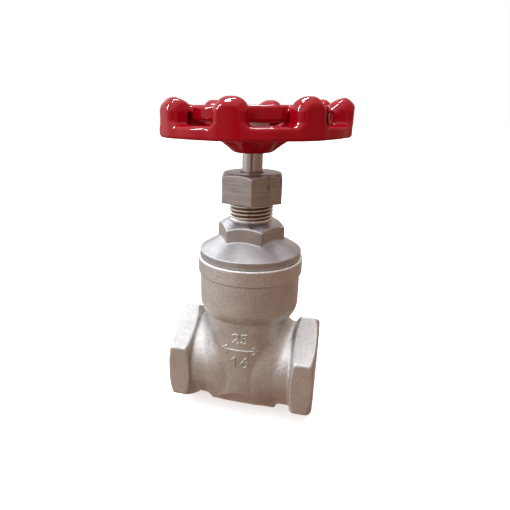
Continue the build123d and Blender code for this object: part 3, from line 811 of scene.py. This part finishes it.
def wheelLobe(out, side, z):      # without its outer end
    w = wheelShape
    fall = w["lobeTop"] - z - w["slope"] * (w["slopeStart"] - out)
    roof = cut(z - w["lobeTop"], -fall / hypot(1, w["slope"]), w["lobeShoulder"])
    block = cut(side - w["lobeHalf"], roof, w["lobeRound"])
    slit = cut(out - w["rimInner"], z - w["lobeArch"], 0.8)
    block = cut(block, -slit, 0.8)
    return np.maximum(block, w["ringInner"] + 1.2 - out)


def wheelSpoke(out, side, z):
    w = wheelShape
    under = np.interp(out, *w["spokeUnder"])
    over = np.interp(out, *w["spokeOver"])
    web = np.maximum(under - z, z - over) * 0.85
    web = cut(side - w["spokeHalf"], web, w["spokeRound"])
    return np.maximum(web, np.maximum(out - w["rimInner"] - 1, 6 - out))


def wheelField(x, y, z):
    w = wheelShape
    radius = np.hypot(x, y)
    step = 2 * pi / w["lobes"]
    angle = np.arctan2(y, x) - radians(w["turn"])
    angle = (angle + step / 2) % step - step / 2
    out, side = radius * np.cos(angle), np.abs(radius * np.sin(angle))
    rim = cut(w["rimInner"] - radius, z - w["rimTop"], w["rimRound"])
    ring = cut(radius - w["ringOuter"], z - w["ringTop"], w["ringRound"])
    ring = cut(ring, w["ringInner"] - radius, w["ringRound"])
    ring = cut(ring, w["ringBase"] - z, w["ringRound"])
    flare = w["hubRadius"] + w["hubFlare"] * np.clip(z - wheelLow[2], 0, w["flareHeight"])
    hub = cut((radius - flare) * 0.75, z - w["hubTop"], 0.8)
    hub = cut(hub, wheelLow[2] - z, 0.5)
    wheel = filleted(rim, wheelLobe(out, side, z), w["lobeFillet"])
    proud = np.clip((w["lobeHalf"] + 3 - side) / 5.5, 0, 1)
    outer = radius - w["rimOuter"] - (w["radius"] - w["rimOuter"]) * proud * proud * (3 - 2 * proud)
    heights = [w["rimTop"], w["rimTop"] + 1.5, w["lobeTop"] - w["lobeNose"], w["lobeTop"] - 1.5]
    rounding = [w["rimRound"], w["lobeCorner"], w["lobeCorner"], w["lobeNose"]]
    wheel = cut(wheel, outer, np.interp(z, heights, rounding))
    wheel = cut(wheel, w["rimBase"] - z, w["rimUnder"])
    wheel = filleted(wheel, ring, 1.0)
    wheel = filleted(wheel, filleted(wheelSpoke(out, side, z), hub, w["spokeFillet"]), w["spokeFillet"])
    wheel = np.maximum(wheel, -np.maximum(radius - w["plateSeat"], w["hubTop"] - 0.02 - z))
    half = w["square"] / 2
    hole = np.maximum(np.maximum(np.abs(x), np.abs(y)) - half, radius - w["squareRound"])
    return cut(wheel, -hole, 0.25)


makePiece("wheelCasting", wheelField, wheelLow, wheelHigh, wheelShape["cell"],
          "enamel", "stem", "handwheel")


# ---- finishes on the pieces whose shape is already right ----
nodeFinish = {
    "wedge": "cast",
    "stem": "polished",
    "gland_follower": "polished",
    "lower_thrust_washer": "polished",
    "upper_thrust_washer": "polished",
    "bonnet_gasket": "ptfe",
    "packing_base_ring": "ptfe",
    "packing_top_ring": "ptfe",
    "id_plate": "plate",
    "handwheel_washer": "zinc",
    "handwheel_lock_washer": "zinc",
    "handwheel_nut": "zinc",
}
for name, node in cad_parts.items():
    finish = finishes[nodeFinish.get(name, "ptfe")]
    if not node.material_slots:
        node.data.materials.append(finish)
    for slot in node.material_slots:
        slot.material = finish
print("finishes given to", len(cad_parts), "carried-over pieces")


# ---- floor, surroundings and lights ----
floorSetup = {"size": 8.0, "colour": (0.93, 0.93, 0.93), "glow": 0.55}


def makeFloor():
    half = floorSetup["size"] / 2
    level = cadLow[2]
    mesh = bpy.data.meshes.new("floor")
    corners = [(-half, -half, level), (half, -half, level), (half, half, level), (-half, half, level)]
    mesh.from_pydata(corners, [], [(0, 1, 2, 3)])
    floor = bpy.data.objects.new("floor", mesh)
    bpy.context.scene.collection.objects.link(floor)
    material, paint = newMaterial("paleFloor")
    glow = (*floorSetup["colour"], 1.0)
    paint.shader({
        "Base Color": glow, "Roughness": 0.9, "Emission Color": glow, "Emission Strength": floorSetup["glow"],
    })
    mesh.materials.append(material)
    floor.visible_glossy = False
    floor.visible_diffuse = False
    floor.visible_shadow = False


# bright overhead and to the left, a warm dim room in front and to the right
roomSetup = {
    "lean": 0.65,
    "stops": [
        (0.00, (0.24, 0.14, 0.105)),
        (0.22, (0.36, 0.24, 0.185)),
        (0.46, (0.59, 0.465, 0.395)),
        (0.60, (0.52, 0.44, 0.41)),
        (0.67, (0.62, 0.58, 0.58)),
        (0.74, (1.20, 1.20, 1.23)),
        (0.81, (1.66, 1.69, 1.77)),
        (1.00, (1.74, 1.78, 1.88)),
    ],
    "strength": 1.15,
    "shade": 0.8,      # how much darker it is straight in front
    "shadeStart": 0.95,
    "shadeGain": 24.0,
}


def makeRoom():
    world = bpy.data.worlds.new("studio")
    bpy.context.scene.world = world
    paint = Paint(world)
    way = paint.node("TexCoord", output="Generated")
    x = paint.node("SeparateXYZ", None, {"Vector": way}, output=0)
    y = paint.node("SeparateXYZ", None, {"Vector": way}, output=1)
    z = paint.node("SeparateXYZ", None, {"Vector": way}, output=2)
    height = (z - x * roomSetup["lean"]) / (2 * hypot(1, roomSetup["lean"])) + 0.5
    colour = paint.ramp(height, roomSetup["stops"])
    front = paint.clamp((0 - y - roomSetup["shadeStart"]) * roomSetup["shadeGain"], 0.0, 1.0)
    strength = (1 - front * roomSetup["shade"]) * roomSetup["strength"]
    lit = paint.node("Background", None, {"Color": colour, "Strength": strength})
    white = paint.node("Background", None, {"Color": (1.0, 1.0, 1.0, 1.0), "Strength": 1.0})
    seen = paint.node("LightPath", output="Is Camera Ray")
    surface = paint.node("MixShader", None, {0: seen, 1: lit, 2: white})
    paint.node("OutputWorld", None, {"Surface": surface})


softboxes = {
    "overheadStrip": {
        "place": (-0.06, 0.10, 0.62), "size": (0.30, 0.05), "power": 10.0,
        "aim": (0.0, 0.0, 0.10), "lights": ["wheelCasting"],
    },
    "windowStrip": {
        "place": (-0.42, -0.20, 0.42), "size": (0.05, 0.30), "power": 8.0,
        "aim": (0.0, 0.0, 0.10), "lights": ["wheelCasting"],
    },
    "underWheel": {      # reaches the metal that the handwheel overhangs
        "place": (-0.05, -0.03, 0.50), "size": (0.26, 0.26), "power": 0.24,
        "aim": (0.0, 0.0, 0.06), "lights": ["bonnetCasting", "bonnetNeck", "packingNutBrushed"],
    },
}


def makeSoftbox(name, setup):
    data = bpy.data.lights.new(name, "AREA")
    data.shape = "RECTANGLE"
    data.size, data.size_y = setup["size"]
    data.energy = setup["power"]
    light = bpy.data.objects.new(name, data)
    light.location = setup["place"]
    away = Vector(setup["place"]) - Vector(setup["aim"])
    light.rotation_euler = away.to_track_quat("Z", "Y").to_euler()
    light.visible_diffuse = False
    bpy.context.scene.collection.objects.link(light)
    group = bpy.data.collections.new(name)
    for piece in setup["lights"]:
        group.objects.link(bpy.data.objects[piece])
    light.light_linking.receiver_collection = group
    light.light_linking.blocker_collection = group


makeFloor()
makeRoom()
for name, setup in softboxes.items():
    makeSoftbox(name, setup)
print("floor, room and", len(softboxes), "softboxes set")

bpy.context.view_layer.update()
